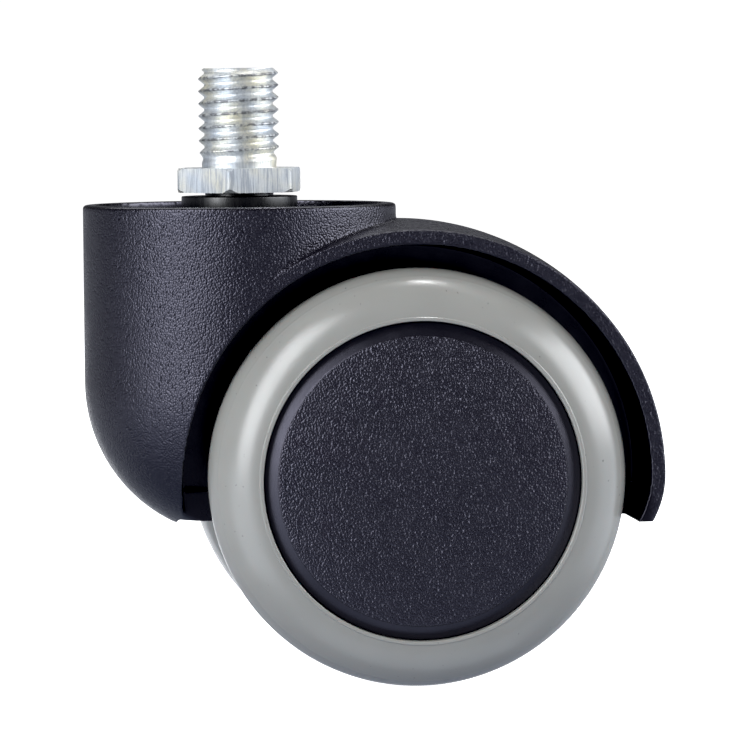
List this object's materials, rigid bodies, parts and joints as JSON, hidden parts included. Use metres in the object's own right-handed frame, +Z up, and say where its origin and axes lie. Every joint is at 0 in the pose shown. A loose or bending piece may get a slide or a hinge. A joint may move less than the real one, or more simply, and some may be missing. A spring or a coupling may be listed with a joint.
{
  "type": "chair caster wheel",
  "caption": "Hooded twin-wheel swivel caster for an office chair, with a threaded stem and soft-tread wheels.",
  "frame": {"origin": "where the stem's axis meets the top face of its hexagon, the shoulder that seats under the chair's base", "axes": "+Z up along the threaded stem, +X towards the wheels that trail behind the stem, Y along the wheels' axle"},
  "size_m": [0.0691, 0.0472, 0.0739],
  "materials": {
    "housing_plastic": "fine grained, satin",
    "cap_plastic": "fine grained, satin, with a smooth bevel",
    "wheel_plastic": "smooth, satin",
    "bush_plastic": "smooth, satin",
    "tread_polyurethane": "smooth, semi-gloss",
    "zinc_plated_steel": "bright zinc plate",
    "bright_steel": "bright, plain"
  },
  "bodies": {
    "stem": {"stem": "zinc_plated_steel", "stem_snap_ring": "bright_steel"},
    "housing": {"housing": "housing_plastic", "stem_bush": "bush_plastic", "thrust_pad": "bright_steel", "axle": "bright_steel", "inner_washer_left": "bright_steel", "inner_washer_right": "bright_steel", "outer_washer_left": "bright_steel", "outer_washer_right": "bright_steel", "axle_clip_left": "bright_steel", "axle_clip_right": "bright_steel"},
    "wheel_left": {"wheel_core_left": "wheel_plastic", "tread_left": "tread_polyurethane", "hub_cap_left": "cap_plastic", "hub_sleeve_left": "bright_steel"},
    "wheel_right": {"wheel_core_right": "wheel_plastic", "tread_right": "tread_polyurethane", "hub_cap_right": "cap_plastic", "hub_sleeve_right": "bright_steel"}
  },
  "joints": [
    {"name": "swivel", "type": "hinge", "parent": "stem", "child": "housing", "pos_m": [0, 0, 0], "axis": [0, 0, 1], "continuous": true},
    {"name": "roll_left", "type": "hinge", "parent": "housing", "child": "wheel_left", "pos_m": [0.0197, 0, -0.0368], "axis": [0, 1, 0], "continuous": true},
    {"name": "roll_right", "type": "hinge", "parent": "housing", "child": "wheel_right", "pos_m": [0.0197, 0, -0.0368], "axis": [0, 1, 0], "continuous": true}
  ]
}
